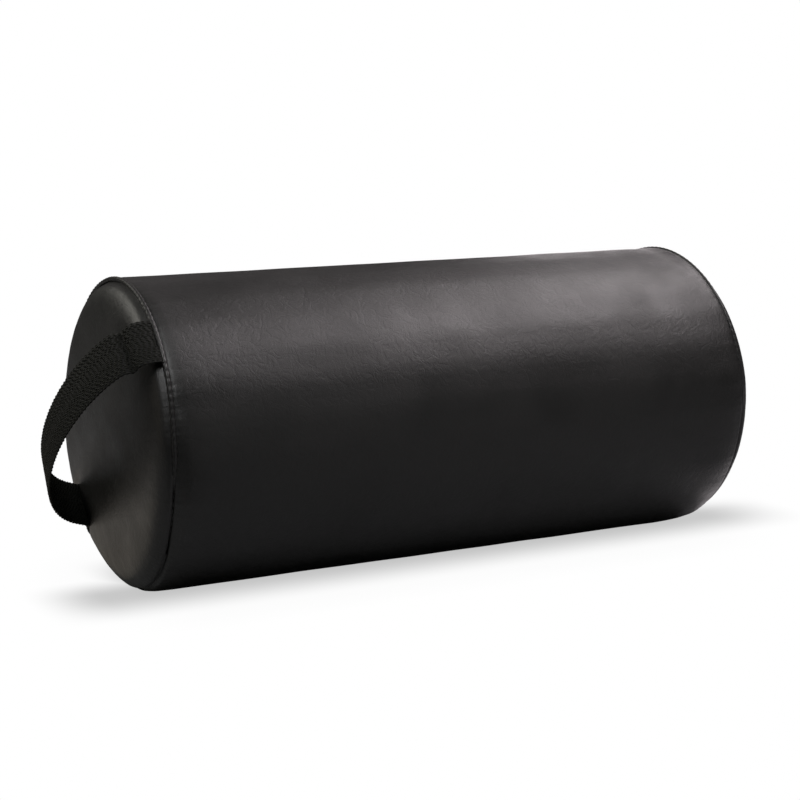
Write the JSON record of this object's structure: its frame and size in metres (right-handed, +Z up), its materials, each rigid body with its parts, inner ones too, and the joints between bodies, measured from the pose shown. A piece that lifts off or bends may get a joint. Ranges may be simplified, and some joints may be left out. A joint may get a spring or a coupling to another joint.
{
  "type": "round yoga bolster",
  "caption": "Round yoga bolster: a firm foam cylinder in a sewn black leatherette cover, with a webbing carry handle on one end.",
  "frame": {"origin": "middle of the flat strip that the bolster lies on", "axes": "+X along the bolster away from its handle, +Z up, +Y towards the side with the zip"},
  "size_m": [0.5566, 0.2328, 0.2289],
  "materials": {
    "leatherette": "satin, fine pebble grain",
    "webbing": "matte, woven",
    "wadding": "matte, lofty fibre",
    "foam": "matte, open cells",
    "zip_tape": "matte, woven",
    "zip_nylon": "satin",
    "zip_metal": "satin black"
  },
  "bodies": {
    "bolster": {"foam_core": "foam", "wadding_wrap": "wadding", "handle_end_wadding": "wadding", "plain_end_wadding": "wadding", "side_panel": "leatherette", "handle_end_panel": "leatherette", "plain_end_panel": "leatherette", "handle_end_welt": "leatherette", "plain_end_welt": "leatherette", "handle_root_lower": "webbing", "handle_root_upper": "webbing", "zip_tape_upper": "zip_tape", "zip_tape_lower": "zip_tape", "zip_coil_upper": "zip_nylon", "zip_coil_lower": "zip_nylon", "zip_top_stop_upper": "zip_metal", "zip_top_stop_lower": "zip_metal", "zip_bottom_stop": "zip_metal"},
    "handle": {"handle_loop": "webbing"},
    "slider": {"zip_slider": "zip_metal"},
    "pull": {"zip_pull": "zip_metal"}
  },
  "joints": [
    {"name": "handle_swing", "type": "hinge", "parent": "bolster", "child": "handle", "pos_m": [-0.2444, 0, 0.114], "axis": [0, -0.7108, 0.7034], "range_deg": [-30, 30], "stiffness_Nm_per_rad": 0.01},
    {"name": "zip_slide", "type": "slide", "parent": "bolster", "child": "slider", "axis": [-1, 0, 0], "range_m": [0, 0.388]},
    {"name": "pull_swing", "type": "hinge", "parent": "slider", "child": "pull", "pos_m": [0.1942, 0.11611, 0.13868], "axis": [0, -0.2079, 0.9781], "range_deg": [0, 180]}
  ]
}
